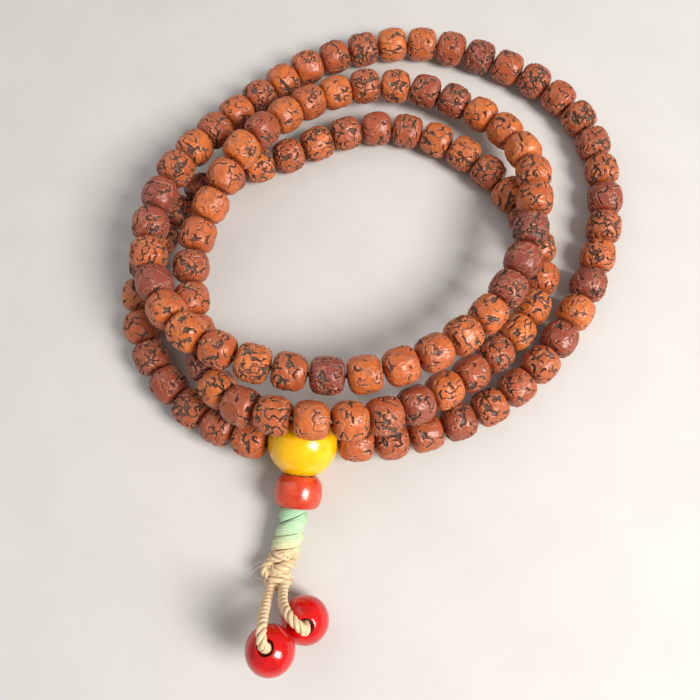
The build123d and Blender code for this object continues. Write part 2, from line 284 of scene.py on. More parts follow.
# the wrap's mint green at the guru's end, then pale yellow, then cream at the knots
WRAP = [
    (0.0, linear(160, 220, 178)),
    (0.30, linear(184, 232, 186)),
    (0.50, linear(214, 232, 180)),
    (0.66, linear(238, 226, 172)),
    (0.78, linear(228, 192, 140)),
    (1.0, linear(226, 186, 132)),
]
seed_look = seed_material()
guru_look = resin_material(
    "yellow_resin", linear(250, 184, 0), linear(254, 200, 6), pits=0.2, roughness=0.22, soft=0.12
)
barrel_look = resin_material(
    "coral_resin", linear(192, 48, 26), linear(218, 82, 46), pits=0.9, roughness=0.27
)
pendant_look = resin_material(
    "red_resin", linear(186, 3, 6), linear(216, 10, 8), pits=0.6, roughness=0.15
)
cord_look = cord_material("cream_cord", CREAM)
string_look = cord_material("main_string", STRING_CREAM)
wrap_look = cord_material("tinted_wrap", WRAP)


# ---------------------------------------------------------------- meshes
CREASE = math.radians(55)


def make_piece(name, verts, faces, look, body, nodes, slot, matrix=None, **layers):
    """A smooth mesh with its point layers, that rides on a body and stands for CAD nodes."""
    mesh = bpy.data.meshes.new(name)
    mesh.from_pydata([tuple(v) for v in verts], [], faces)
    for layer, values in layers.items():
        values = np.asarray(values, np.float32)
        kind = "FLOAT_VECTOR" if values.ndim == 2 else "FLOAT"
        field = mesh.attributes.new(layer, kind, "POINT")
        field.data.foreach_set("vector" if values.ndim == 2 else "value", values.ravel())
    mesh.polygons.foreach_set("use_smooth", [True] * len(mesh.polygons))
    mesh.set_sharp_from_angle(angle=CREASE)
    mesh.materials.append(look)
    obj = bpy.data.objects.new(name, mesh)
    bpy.context.scene.collection.objects.link(obj)
    if matrix is not None:
        obj.matrix_world = matrix
    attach(obj, body)
    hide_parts(*nodes)
    return obj


def revolved(profile, around):
    """Points and faces of a closed profile of (radius, height) turned about Z."""
    rings = len(profile)
    angle = np.arange(around) * (2 * math.pi / around)
    radius, height = np.array(profile, float).T
    verts = np.stack(
        [
            np.outer(radius, np.cos(angle)),
            np.outer(radius, np.sin(angle)),
            np.repeat(height[:, None], around, axis=1),
        ],
        axis=-1,
    ).reshape(-1, 3)
    faces = []
    for i in range(rings):
        low, high = i * around, ((i + 1) % rings) * around
        for j in range(around):
            k = (j + 1) % around
            faces.append((low + j, low + k, high + k, high + j))
    return verts, faces


def facing(centre, axis):
    """The matrix that puts a piece at centre with its Z along axis."""
    turn = Vector(axis).to_track_quat("Z", "Y").to_matrix().to_4x4()
    return Matrix.Translation(centre) @ turn


# ---------------------------------------------------------------- smooth noise for carving
grid_rng = np.random.default_rng(7)
LATTICE = grid_rng.permutation(256)
SLOPES = grid_rng.normal(size=(256, 3))
SLOPES /= np.linalg.norm(SLOPES, axis=1)[:, None]


def smooth_noise(points):
    """Gradient noise, about -0.7 to 0.7, at each point."""
    cell = np.floor(points).astype(int)
    part = points - cell
    ease = part * part * part * (part * (part * 6 - 15) + 10)
    total = np.zeros(len(points))
    for dx in (0, 1):
        for dy in (0, 1):
            for dz in (0, 1):
                corner = (cell + (dx, dy, dz)) & 255
                index = LATTICE[(LATTICE[corner[:, 0]] + corner[:, 1]) & 255]
                index = LATTICE[(index + corner[:, 2]) & 255]
                reach = ((part - (dx, dy, dz)) * SLOPES[index]).sum(axis=1)
                weight = np.where((dx, dy, dz), ease, 1 - ease).prod(axis=1)
                total += weight * reach
    return total


def smoothstep(value, low, high):
    """0 below low, 1 above high, and an even curve between them."""
    t = np.clip((value - low) / (high - low), 0, 1)
    return t * t * (3 - 2 * t)


# ---------------------------------------------------------------- seed beads, in millimetres
AROUND = 96
SIDE_STEPS = 42
HALF_LENGTH = 3.80
END_RADIUS = 2.0  # of the flat round the hole
END_LIFT = 0.08  # how far that flat stands out
HOLE_RADIUS = 1.05
HOLE_EDGE = 0.22
LIP_SHARE, LIP_DEPTH = 0.35, 0.06  # the hole's edge is rounded by one point, part of the way out and in
FAR = 0.8  # what a groove's distance is where there is none
# how a groove is drawn
BRANCH_CHANCE = 0.38  # that a path starts on an earlier one
START_REACH, PATH_REACH, PIT_REACH = 3.4, 3.6, 3.2  # how far from the seed's middle each may be
PATH_STEP = 0.52
GROOVE_HALF_WIDTHS = (0.09, 0.12, 0.15, 0.18, 0.22, 0.28)
NARROW_END = 0.6
# how deep or high each kind of relief is
GROOVE_DEPTH = 0.42
WRINKLE_DEPTH = 0.10
SWELL_DEPTH = 0.26
LUMP_DEPTH = 0.12
RIM_HEIGHT = 0.10
RIM_FADE = (2.9, 3.5)  # the rims fade between these heights, so that neighbours don't touch
WARP = 0.40  # how far a groove wanders from its path
FLATTEN = 0.75  # relief is pushed in towards the middle, less along the hole than across it


def seed_profile(radius, squareness):
    """Round-shouldered barrel with a hole, as (radius, height) in millimetres."""
    points = [(HOLE_RADIUS, -HALF_LENGTH * share) for share in (-0.9, -0.3, 0.3, 0.9)]
    end = HALF_LENGTH + END_LIFT
    lip = HOLE_RADIUS + HOLE_EDGE * LIP_SHARE
    points += [(lip, -end + LIP_DEPTH), (HOLE_RADIUS + HOLE_EDGE, -end)]
    for step in range(SIDE_STEPS + 1):
        turn = -math.pi / 2 + math.pi * step / SIDE_STEPS
        across = abs(math.cos(turn)) ** (2 / squareness)
        along = math.copysign(abs(math.sin(turn)) ** (2 / squareness), turn)
        reach = END_RADIUS + (radius - END_RADIUS) * across
        points.append((reach, (end - END_LIFT * across) * along))
    return points + [(HOLE_RADIUS + HOLE_EDGE, end), (lip, end - LIP_DEPTH)]


def girth(radius, squareness, height):
    """The seed's radius at a height along its hole, in millimetres."""
    share = np.clip(np.abs(height) / HALF_LENGTH, 0, 1) ** squareness
    return END_RADIUS + (radius - END_RADIUS) * (1 - share) ** (1 / squareness)


def on_seed(radius, squareness, angle, height):
    """The point of the seed's side at an angle round its hole and a height along it."""
    here = float(girth(radius, squareness, height))
    return np.array([here * math.cos(angle), here * math.sin(angle), height])


def carve_paths(radius, squareness, count, bend, along_share, draw):
    """Winding grooves on the seed, each a list of points and a half width, in millimetres.
    along_share of them set out along the hole, and the rest round it."""
    paths, starts = [], []
    for _ in range(count):
        if starts and draw.random() < BRANCH_CHANCE:
            angle, height = draw.choice(starts)
        else:
            angle, height = draw.uniform(0, 2 * math.pi), draw.uniform(-START_REACH, START_REACH)
        heading = draw.choice((0, math.pi)) if draw.random() > along_share else math.pi / 2
        heading += draw.uniform(-0.7, 0.7)
        half_width = draw.choice(GROOVE_HALF_WIDTHS)
        points = []
        for _ in range(draw.randint(3, 8)):
            points.append(on_seed(radius, squareness, angle, height))
            starts.append((angle, height))
            heading += draw.gauss(0, bend)
            angle += PATH_STEP * math.cos(heading) / radius
            height += PATH_STEP * math.sin(heading)
            height = max(-PATH_REACH, min(PATH_REACH, height))
        paths.append((np.array(points), half_width))
    return paths


def groove_distance(points, paths, pits):
    """Distance from each point to the nearest groove's edge, less than 0 inside it."""
    nearest = np.full(len(points), FAR)
    for line, half_width in paths:
        last = len(line) - 2
        for i, (a, b) in enumerate(zip(line, line[1:])):
            run = b - a
            share = np.clip(((points - a) @ run) / max(run @ run, 1e-9), 0, 1)
            gap = np.linalg.norm(points - a - share[:, None] * run, axis=1)
            narrow = NARROW_END if i in (0, last) else 1.0
            nearest = np.minimum(nearest, gap - half_width * narrow)
    for centre, half_width in pits:
        nearest = np.minimum(nearest, np.linalg.norm(points - centre, axis=1) - half_width)
    return nearest


# how a seed is carved: winding paths (fewest, most), their bend, pits (most), the veins' scales
# across and along the hole (noise cells per millimetre), and what their half width is made of
# (the swing of its noise, and its middle)
CARVINGS = [
    ((12, 18), 0.65, 14, (0.40, 0.40), (0.46, 0.00)),
    ((6, 12), 0.90, 10, (0.60, 0.60), (0.38, 0.03)),
    ((5, 9), 0.50, 8, (0.26, 0.70), (0.44, 0.03)),
    ((16, 24), 0.80, 16, (0.34, 0.34), (0.32, -0.04)),
    ((4, 8), 0.50, 12, (0.50, 0.30), (0.26, -0.05)),
]
CARVING_WEIGHTS = (32, 26, 16, 16, 10)


def seed_mesh(radius, tint, draw):
    """One carved seed about the origin, its hole along Z: points in metres, faces, and layers in
    millimetres. groove, veins and breadth say how far the carving is, place is where noise is read."""
    squareness = draw.uniform(2.25, 2.65)
    verts, faces = revolved(seed_profile(radius, squareness), AROUND)
    shift = np.array([draw.uniform(0, 200) for _ in range(3)])
    out = verts.copy()
    out[:, 2] *= FLATTEN
    out /= np.maximum(np.linalg.norm(out, axis=1), 1e-6)[:, None]
    # 1 on the side, falling to 0 at the hole, which stays smooth
    surface = smoothstep(np.hypot(verts[:, 0], verts[:, 1]), HOLE_RADIUS + 0.1, END_RADIUS + 0.2)
    warp = WARP * np.stack([smooth_noise(verts * 0.9 + shift + k * 31.7) for k in range(3)], axis=1)
    carving = draw.choices(CARVINGS, CARVING_WEIGHTS)[0]
    (fewest, most), bend, most_pits, (scale_across, scale_along), (swing, middle) = carving
    count, along_share = draw.randint(fewest, most), draw.choice((0.3, 0.5, 0.8))
    paths = carve_paths(radius, squareness, count, bend, along_share, draw)
    pits = []
    for _ in range(draw.randint(4, most_pits)):
        angle, height = draw.uniform(0, 2 * math.pi), draw.uniform(-PIT_REACH, PIT_REACH)
        pits.append((on_seed(radius, squareness, angle, height), draw.uniform(0.10, 0.28)))
    # the warped points go back to the seed's own surface, so that a groove stays open along its length
    moved = verts + warp
    around = np.hypot(moved[:, 0], moved[:, 1])
    on_side = np.abs(moved[:, 2]) < HALF_LENGTH - 0.1
    wanted = np.where(on_side, girth(radius, squareness, moved[:, 2]), around)
    moved[:, :2] *= (wanted / np.maximum(around, 1e-6))[:, None]
    groove = groove_distance(moved, paths, pits)
    scale = np.array([scale_across, scale_across, scale_along])
    veins = smooth_noise((verts + warp * 1.6) * scale + shift) / (1.15 * scale.mean())
    breadth = swing * smooth_noise(verts * 0.55 + shift + 80) + middle + 0.04
    breadth = np.minimum(breadth, 0.20)
    shore = np.minimum(groove, np.abs(veins) - breadth)
    depth = GROOVE_DEPTH * (1 - smoothstep(shore, -0.16, 0.14))
    swell = 0.5 + smooth_noise(verts * 0.28 + shift)
    lump = 0.5 + smooth_noise(verts * 0.75 + shift + 120)
    wrinkle = np.abs(smooth_noise(verts * 0.62 + warp * 1.5 + shift + 50))
    depth += WRINKLE_DEPTH * (1 - smoothstep(wrinkle, 0.0, 0.09))
    depth += SWELL_DEPTH * np.clip(swell, 0, 1) + LUMP_DEPTH * np.clip(lump, 0, 1)
    away = 1 - smoothstep(np.abs(verts[:, 2]), *RIM_FADE)
    depth -= RIM_HEIGHT * smoothstep(shore, 0.02, 0.16) * (1 - smoothstep(shore, 0.22, 0.45)) * away
    skin = surface > 0.5
    layers = {
        "groove": np.where(skin, groove, FAR),
        "veins": np.where(skin, veins, FAR),
        "breadth": np.where(skin, breadth, -FAR),
        "place": verts + shift,
        "tint": np.full(len(verts), tint),
    }
    verts = verts - out * (depth * surface)[:, None]
    return verts * MM, faces, layers


def solids_of(node):
    """Each loose solid of a CAD node: its centre of area, its spread about that centre (a matrix),
    and its corners measured from that centre."""
    mesh = frame["nodes"][node].data
    bm = bmesh.new()
    bm.from_mesh(mesh)
    bmesh.ops.remove_doubles(bm, verts=bm.verts, dist=1e-6)
    bmesh.ops.triangulate(bm, faces=bm.faces)
    left, found = set(bm.faces), []
    while left:
        island, edge = [], [left.pop()]
        while edge:
            face = edge.pop()
            island.append(face)
            for link in face.edges:
                for other in link.link_faces:
                    if other in left:
                        left.discard(other)
                        edge.append(other)
        corners = np.array([[v.co for v in face.verts] for face in island], float)
        first, second = corners[:, 1] - corners[:, 0], corners[:, 2] - corners[:, 0]
        area = np.linalg.norm(np.cross(first, second), axis=1) / 2
        middle = (corners.mean(axis=1) * area[:, None]).sum(axis=0) / area.sum()
        arms = corners.reshape(-1, 3) - middle
        weight = np.repeat(area, 3)
        spread = (arms * weight[:, None]).T @ arms
        found.append((middle, spread, arms))
    bm.free()
    return found


def along_string(point, guide):
    """The string's direction where it passes nearest to point."""
    i = int(np.argmin(np.linalg.norm(guide - point, axis=1)))
    run = guide[min(i + 3, len(guide) - 1)] - guide[max(i - 3, 0)]
    return run / np.linalg.norm(run)


# ---------------------------------------------------------------- cords, in millimetres
# The string's route is the CAD's. The pendant cords' routes keep the CAD's two ends and climb more
# evenly between them, as in the photograph.
STRING_ROUTE = [
    # out of the guru and round the left, on the surface
    (-19.6, -33.5, 7.8), (-28.5, -33.2, 7.0), (-39.5, -28.5, 5.0), (-49.5, -20.0, 4.5),
    (-56.5, -8.5, 4.5), (-58.5, 3.5, 4.5), (-56.0, 15.0, 4.5), (-51.0, 25.5, 4.5),
    (-43.5, 33.5, 4.5), (-33.0, 38.0, 4.5), (-21.5, 42.0, 4.5), (-10.5, 48.0, 4.5),
    # the inner row at the back, and down the right under the second loop
    (0.5, 50.5, 4.5), (12.0, 48.5, 4.5), (23.0, 42.5, 4.5), (31.5, 34.0, 4.5),
    (37.5, 24.5, 4.5), (40.5, 14.0, 4.5), (39.3, 3.5, 4.7), (34.0, -5.5, 5.4),
    # up and over the guru
    (24.5, -15.0, 7.2), (12.5, -23.5, 11.0), (1.0, -29.3, 15.2), (-10.5, -31.3, 19.6),
    (-22.0, -30.2, 20.0), (-31.5, -27.2, 16.0), (-38.2, -20.5, 12.0), (-41.5, -12.0, 9.9),
    # the second loop, up the left over the first
    (-43.5, -4.0, 10.0), (-45.0, 6.0, 10.8), (-43.5, 16.5, 11.2), (-38.5, 28.5, 12.4),
    (-33.0, 39.3, 14.2), (-24.5, 49.5, 10.2), (-15.0, 58.0, 7.0), (-2.0, 62.5, 6.2),
    (12.0, 61.0, 6.2), (25.0, 54.5, 6.8), (35.0, 44.0, 9.2), (38.5, 32.0, 12.8),
    (36.5, 19.5, 14.6), (32.5, 5.0, 13.8), (23.0, -7.5, 14.2), (11.0, -16.0, 17.0),
    # along the front, highest of all
    (-2.5, -20.8, 17.2), (-18.0, -20.5, 17.4), (-32.0, -17.2, 19.2), (-43.0, -11.5, 19.4),
    # the third loop, up the left on the outside, then down to the surface
    (-50.0, -3.0, 16.2), (-54.5, 10.0, 14.0), (-54.0, 22.0, 13.8), (-49.0, 34.5, 12.8),
    (-41.5, 46.5, 8.8), (-31.5, 58.0, 6.0), (-19.5, 69.0, 4.7), (-4.0, 75.3, 4.5),
    (12.0, 77.5, 4.5), (27.5, 73.3, 4.5), (43.0, 65.0, 4.5), (53.5, 54.5, 4.5),
    (58.0, 40.0, 4.5), (57.8, 25.5, 4.5), (54.0, 11.5, 4.5), (47.5, -2.0, 4.5),
    # back along the front, into the guru
    (37.5, -15.5, 4.5), (25.5, -25.3, 4.5), (10.5, -31.0, 4.6), (-1.0, -33.5, 6.0),
    (-9.0, -33.5, 7.5), (-15.4, -33.5, 7.8),
]
LEFT_CORD_ROUTE = [
    (-23.3, -60.7, 3.4), (-23.8, -63.0, 3.8), (-24.1, -65.2, 7.2), (-24.2, -67.4, 11.8),
    (-24.1, -69.6, 16.4), (-24.0, -71.6, 19.9), (-23.77, -74.4, 19.6), (-23.2, -75.2, 14.8),
    (-22.8, -76.4, 9.7),
]
RIGHT_CORD_ROUTE = [
    (-20.9, -60.7, 3.4), (-21.0, -63.0, 3.8), (-21.2, -65.2, 6.8), (-20.8, -67.2, 11.0),
    (-19.2, -69.3, 14.6), (-17.1, -71.2, 15.0), (-15.85, -72.42, 13.2), (-16.3, -71.4, 8.2),
    (-16.7, -70.2, 3.1),
]
STRING_DIAMETER = 1.3
CORD_DIAMETER = 2.2
PLY_SHARE = 0.49  # a ply's radius, as a share of its rope's


def spline_line(name, route):
    """Points in millimetres along the smooth spline whose control points are the route's."""
    curve = bpy.data.curves.new(name, "CURVE")
    curve.dimensions = "3D"
    curve.resolution_u = 24
    spline = curve.splines.new("NURBS")
    spline.points.add(len(route) - 1)
    for point, place in zip(spline.points, route):
        point.co = (*place, 1)
    spline.order_u = 3
    spline.use_endpoint_u = True
    holder = bpy.data.objects.new(name, curve)
    mesh = bpy.data.meshes.new_from_object(holder)
    line = np.array([v.co for v in mesh.vertices], float)
    bpy.data.objects.remove(holder)
    bpy.data.meshes.remove(mesh)
    return line


def even(line, step):
    """The line's points, spaced evenly, and how far along it each one is."""
    run = np.concatenate([[0], np.cumsum(np.linalg.norm(np.diff(line, axis=0), axis=1))])
    stations = np.linspace(0, run[-1], max(2, round(run[-1] / step) + 1))
    return np.stack([np.interp(stations, run, line[:, k]) for k in range(3)], axis=1), stations


def frames(line, closed=False):
    """Two directions square to the line at each point, turning as little as they can."""
    if closed:
        ahead = np.roll(line, -1, axis=0) - np.roll(line, 1, axis=0)
    else:
        ahead = np.gradient(line, axis=0)
    ahead /= np.linalg.norm(ahead, axis=1)[:, None]
    start = np.cross(ahead[0], (0.0, 0.0, 1.0))
    if np.linalg.norm(start) < 0.1:
        start = np.cross(ahead[0], (0.0, 1.0, 0.0))
    sides = [start / np.linalg.norm(start)]
    for direction in ahead[1:]:
        side = sides[-1] - direction * (sides[-1] @ direction)
        sides.append(side / np.linalg.norm(side))
    sides = np.array(sides)
    return sides, np.cross(ahead, sides)


class Bundle:
    """Tubes gathered into one mesh, in millimetres, with the layers that the cord materials read."""

    def __init__(self):
        self.verts, self.faces = [], []
        self.fibre, self.shade, self.depth = [], [], []
        self.count = 0

    def tube(self, line, radius, sides=10, shade=0.5, closed=False, seed=0.0, core=None):
        """A round tube along the line. shade is a number or one per point.
        core, a line and a radius, says what rope it is part of: points deep inside it get painted shade."""
        count = len(line)
        shade = np.broadcast_to(np.asarray(shade, float), (count,))
        side, up = frames(line, closed)
        angle = np.arange(sides) * (2 * math.pi / sides)
        ring = (
            side[:, None] * np.cos(angle)[None, :, None]
            + up[:, None] * np.sin(angle)[None, :, None]
        )
        points = line[:, None] + ring * radius
        run = np.concatenate([[0], np.cumsum(np.linalg.norm(np.diff(line, axis=0), axis=1))])
        base = self.count
        self.verts.append(points.reshape(-1, 3))
        # where the fibres are read: along the tube, and round it
        round_it = np.tile(angle, count)
        fibre = [np.repeat(run, sides), np.cos(round_it) * 1.2, np.sin(round_it) * 1.2 + seed]
        self.fibre.append(np.stack(fibre, axis=1))
        self.shade.append(np.repeat(shade, sides))
        # painted shade: how deep a point lies in its rope, which the cord material paints darker
        inner = np.zeros((count, sides))
        if core is not None:
            middle, reach = core
            out = np.linalg.norm(points - middle[:, None], axis=2)
            inner = smoothstep(1 - out / reach, 0.10, 0.42)
        self.depth.append(inner.ravel())
        for i in range(count if closed else count - 1):
            low, high = base + i * sides, base + ((i + 1) % count) * sides
            for j in range(sides):
                k = (j + 1) % sides
                self.faces.append((low + j, low + k, high + k, high + j))
        if not closed:
            self.faces.append(tuple(base + j for j in reversed(range(sides))))
            self.faces.append(tuple(base + (count - 1) * sides + j for j in range(sides)))
        self.count += count * sides

    def rope(self, line, diameter, plies=3, lead=4.4, sides=10, step=0.18, closed=False, phase=0.0):
        """A twisted rope of that outside diameter along the line. lead is the length of one twist."""
        line, run = even(line, step)
        if closed:
            line, run = line[:-1], run[:-1]
            whole = max(1, round((run[-1] + step) / lead))
            lead = (run[-1] + step) / whole
        side, up = frames(line, closed)
        ply = diameter / 2 * PLY_SHARE
        reach = diameter / 2 - ply
        for i in range(plies):
            turn = phase + 2 * math.pi * (run / lead + i / plies)
            centre = line + reach * (np.cos(turn)[:, None] * side + np.sin(turn)[:, None] * up)
            core = (line, diameter / 2)
            self.tube(centre, ply, sides, closed=closed, seed=3.0 * i + phase, core=core)

    def finish(self, name, look, body, nodes, slot):
        verts = np.concatenate(self.verts)
        return make_piece(
            name, verts * MM, self.faces, look, body, nodes, slot,
            fibre=np.concatenate(self.fibre), shade=np.concatenate(self.shade),
            depth=np.concatenate(self.depth), place=verts,
        )


def free_cord(name, route, diameter, node, body, look, slot, lead, step, plies, sides, **facts):
    """A twisted cord along the smooth line through its route. It returns its centre line."""
    line = spline_line(name + "_line", route)
    strands = Bundle()
    strands.rope(line, diameter, plies=plies, lead=lead, sides=sides, step=step)
    piece = strands.finish(name, look, body, [node], slot)
    return line


# ---------------------------------------------------------------- the seeds on their string
string_line = free_cord(
    "string", STRING_ROUTE, STRING_DIAMETER, "main_string", "root", string_look, "string",
    lead=3.2, step=0.4, plies=2, sides=6, far_end="object",
)
string_guide, _ = even(string_line, 0.5)
string_guide = string_guide * MM  # metres, like the CAD's points


def string_order(place):
    """How far along the string a place is, as a number of its points."""
    return int(np.argmin(np.linalg.norm(string_guide - np.asarray(place), axis=1)))


seeds = []
joints = {joint["child"]: joint for joint in frame["joints"]}
for body, members in frame["record"]["behaviour"]["bodies"].items():
    for node in members:
        if node.startswith("seed_bead"):
            for middle, spread, arms in solids_of(node):
                if body in joints:
                    middle = np.array(joints[body]["pos_m"], float)
                    axis = np.array(joints[body]["axis"], float)
                else:
                    run = along_string(middle, string_guide)
                    values, directions = np.linalg.eigh(spread)
                    axis = directions.T[int(np.argmax(np.abs(directions.T @ run)))]
                    axis = axis if axis @ run > 0 else -axis
                off = arms - np.outer(arms @ axis, axis)
                radius = np.linalg.norm(off, axis=1).max() / MM
                seeds.append((string_order(middle), middle, axis, radius, node, body))
seeds.sort(key=lambda seed: seed[0])
assert len(seeds) == 108

# counted along the string from the guru: the seeds that are dark brown in the photograph
DARK_SEEDS = (11, 12, 31, 38, 52, 53, 59, 60, 61, 67, 73, 76, 89, 96, 99, 105)
for number, (_, middle, axis, radius, node, body) in enumerate(seeds, start=1):
    draw = random.Random(1000 + number)
    if number in DARK_SEEDS:
        tint = draw.uniform(0.0, 0.28)
    else:
        tint = min(1.0, max(0.2, draw.gauss(0.68, 0.2)))
    verts, faces, layers = seed_mesh(radius, tint, draw)
    spin = Matrix.Rotation(draw.uniform(0, 2 * math.pi), 4, "Z")
    make_piece(
        f"seed_{number:03d}", verts, faces, seed_look, body, [node], "seed",
        matrix=facing(middle, axis) @ spin, **layers,
    )

# ---------------------------------------------------------------- resin beads, in millimetres
GURU_RADIUS = 7.8
GURU_HOLE, GURU_EDGE = 1.35, 0.35
GURU_STEPS, PENDANT_STEPS = 64, 44
BALL_AROUND, BARREL_AROUND = 112, 96
# the third hole, as (radius, height) from the guru's middle: it widens outwards for the tail's swing
TAIL_HOLE = [(2.7, -2.4), (2.7, 1.6), (3.3, 6.0), (3.5, 7.0), (3.9, 7.5), (5.0, 9.0)]
TAIL_HOLE_AROUND = 64
GURU_CREASE = math.radians(40)
BARREL_RADIUS = 5.4
BARREL_HALF = 3.3
BARREL_SQUARENESS = 2.35
BARREL_END = 3.5  # the radius where its rounded side begins
BARREL_OVER_GURU = 0.24  # how much farther the side reaches towards the guru
BARREL_BORE = 2.75  # what lies nearer to the middle than this is inside the hole, and gets painted shade
PENDANT_RADIUS = 5.15
PENDANT_TOP, PENDANT_LOW, PENDANT_EDGE = 1.72, 2.1, 0.22  # its hole's radius at each end, and its edge
PENDANT_BORE = 2.0
NECK = 1.25  # the narrow middle of a pendant's hole


def ball_profile(radius, top_hole, bottom_hole, edge, steps):
    """A ball with a hole along Z, its edges rounded, as (radius, height) in millimetres.
    A hole that is wider at the bottom has a neck in the middle, for a stopper knot to lie under."""
    points = []
    low = math.asin((bottom_hole + edge) / radius)
    high = math.asin((top_hole + edge) / radius)
    for step in range(steps + 1):
        turn = low + (math.pi - low - high) * step / steps
        points.append((radius * math.sin(turn), -radius * math.cos(turn)))
    top = radius * math.cos(high)
    bottom = -radius * math.cos(low)
    rounding = [(0.55, 0.0), (0.2, -0.12), (0.04, -0.4), (0.0, -0.9)]
    points += [(top_hole + edge * x, top + edge * y) for x, y in rounding]
    neck = NECK if top_hole != bottom_hole else top_hole
    points += [(top_hole, top - 1.8 * edge - 0.2), (neck, top - 1.8 * edge - 0.7), (neck, 0.0)]
    points += [(neck, bottom + 3.2), (bottom_hole, bottom + 3.0)]
    points += [(bottom_hole + edge * x, bottom - edge * y) for x, y in reversed(rounding)]
    return points


def in_bore(points, hole):
    """1 deep in a hole along Z that is that wide, 0 on the outside: where the resin's painted shade goes."""
    depth = np.sqrt((points**2).sum(axis=1).max()) - np.linalg.norm(points, axis=1)
    return (np.hypot(points[:, 0], points[:, 1]) < hole) * smoothstep(depth, 0.2, 1.6)


def resin_piece(name, profile, around, centre, axis, look, body, nodes, slot, hole, dent, seed):
    """A turned bead at centre with its hole along axis, uneven by up to dent."""
    verts, faces = revolved(profile, around)
    draw = random.Random(seed)
    shift = np.array([draw.uniform(0, 200) for _ in range(3)])
    out = verts / np.maximum(np.linalg.norm(verts, axis=1), 1e-6)[:, None]
    low = np.clip(0.5 + smooth_noise(verts * 0.22 + shift), 0, 1)
    verts = verts - out * (dent * low)[:, None]
    return make_piece(
        name, verts * MM, faces, look, body, nodes, slot, matrix=facing(centre, axis),
        place=verts + shift, bore=in_bore(verts, hole),
    )


guru_centre = Vector(joints["tail"]["pos_m"])
tail_axis = Vector(joints["barrel"]["axis"])


def guru_mesh():
    """A ball with the string's hole along X, and the cutter of the tail's hole, as two meshes."""
    profile = ball_profile(GURU_RADIUS, GURU_HOLE, GURU_HOLE, GURU_EDGE, GURU_STEPS)
    verts, faces = revolved(profile, BALL_AROUND)
    ball = bpy.data.meshes.new("guru_ball")
    ball.from_pydata([tuple(v * MM) for v in verts], [], faces)
    ball.transform(facing(guru_centre, (1, 0, 0)))
    # two flat caps take the place of the band that would run back along the cutter's middle
    around = TAIL_HOLE_AROUND
    verts, faces = revolved(TAIL_HOLE, around)
    caps = [tuple(reversed(range(around))), tuple(range(len(verts) - around, len(verts)))]
    faces = faces[:-around] + caps
    cutter = bpy.data.meshes.new("guru_cutter")
    cutter.from_pydata([tuple(v * MM) for v in verts], [], faces)
    cutter.transform(facing(guru_centre, tail_axis))
    return ball, cutter


ball, cutter = guru_mesh()
guru = bpy.data.objects.new("guru", ball)
knife = bpy.data.objects.new("knife", cutter)
for obj in (guru, knife):
    bpy.context.scene.collection.objects.link(obj)
cut = guru.modifiers.new("tail_hole", "BOOLEAN")
cut.operation = "DIFFERENCE"
cut.solver = "EXACT"
cut.object = knife
bpy.context.view_layer.update()
whole_scene = bpy.context.evaluated_depsgraph_get()
guru.data = bpy.data.meshes.new_from_object(guru.evaluated_get(whole_scene))
guru.modifiers.clear()
bpy.data.objects.remove(knife)
guru.data.name = "guru"
guru.data.materials.clear()
guru.data.materials.append(guru_look)
guru.data.polygons.foreach_set("use_smooth", [True] * len(guru.data.polygons))
guru.data.set_sharp_from_angle(angle=GURU_CREASE)
guru_points = np.array([v.co for v in guru.data.vertices], float) / MM
field = guru.data.attributes.new("place", "FLOAT_VECTOR", "POINT")
field.data.foreach_set("vector", guru_points.astype(np.float32).ravel())
# painted shade: how deep a point of the guru lies in its holes, which its material paints darker
depth = GURU_RADIUS - np.linalg.norm(guru_points - np.array(guru_centre) / MM, axis=1)
field = guru.data.attributes.new("bore", "FLOAT", "POINT")
field.data.foreach_set("value", smoothstep(depth, 0.25, 1.8).astype(np.float32))
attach(guru, "root")
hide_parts("guru_bead")


def barrel_profile():
    """The barrel bead, as (radius, height) in millimetres. Z runs away from the guru, and the lower
    end is hollowed to lie against the guru's ball."""
    hole = [(2.5, 2.7), (2.5, 0.0), (2.5, -2.9), (2.58, -3.46)]
    hollow = [(2.8, -3.62), (3.15, -3.78), (3.5, -3.92), (3.8, -3.93), (4.05, -3.78)]
    side = []
    for step in range(5, 33):
        turn = -math.pi / 2 + math.pi * step / 32
        across = abs(math.cos(turn)) ** (2 / BARREL_SQUARENESS)
        along = math.copysign(abs(math.sin(turn)) ** (2 / BARREL_SQUARENESS), turn)
        half = BARREL_HALF + BARREL_OVER_GURU * (along < 0)
        side.append((BARREL_END + (BARREL_RADIUS - BARREL_END) * across, half * along))
    far_edge = [(2.95, 3.3), (2.62, 3.1)]
    return hole + hollow + side + far_edge


resin_piece(
    "barrel", barrel_profile(), BARREL_AROUND, joints["barrel"]["pos_m"], tail_axis,
    barrel_look, "barrel", ["barrel_bead"], "barrel", BARREL_BORE, dent=0.16, seed=5,
)
pendant_profile = ball_profile(PENDANT_RADIUS, PENDANT_TOP, PENDANT_LOW, PENDANT_EDGE, PENDANT_STEPS)
for side, pattern in (("left", 11), ("right", 23)):
    joint = joints[f"{side}_pendant_ball"]
    resin_piece(
        f"{side}_pendant", pendant_profile, BALL_AROUND,
        joint["pos_m"], joint["axis"], pendant_look, f"{side}_pendant_ball",
        [f"{side}_pendant_bead"], "pendant", PENDANT_BORE, dent=0.10, seed=pattern,
    )


# ---------------------------------------------------------------- pendant cords and hidden knots
RING_STEPS = 48


def ring_line(centre, normal, radius, toward):
    """A circle round centre, square to normal, that starts toward the given direction."""
    normal = Vector(normal).normalized()
    first = Vector(toward) - normal * Vector(toward).dot(normal)
    first.normalize()
    second = normal.cross(first)
    turn = np.arange(RING_STEPS + 1) * (2 * math.pi / RING_STEPS)
    return (
        np.array(centre)
        + np.outer(np.cos(turn) * radius, np.array(first))
        + np.outer(np.sin(turn) * radius, np.array(second))
    )


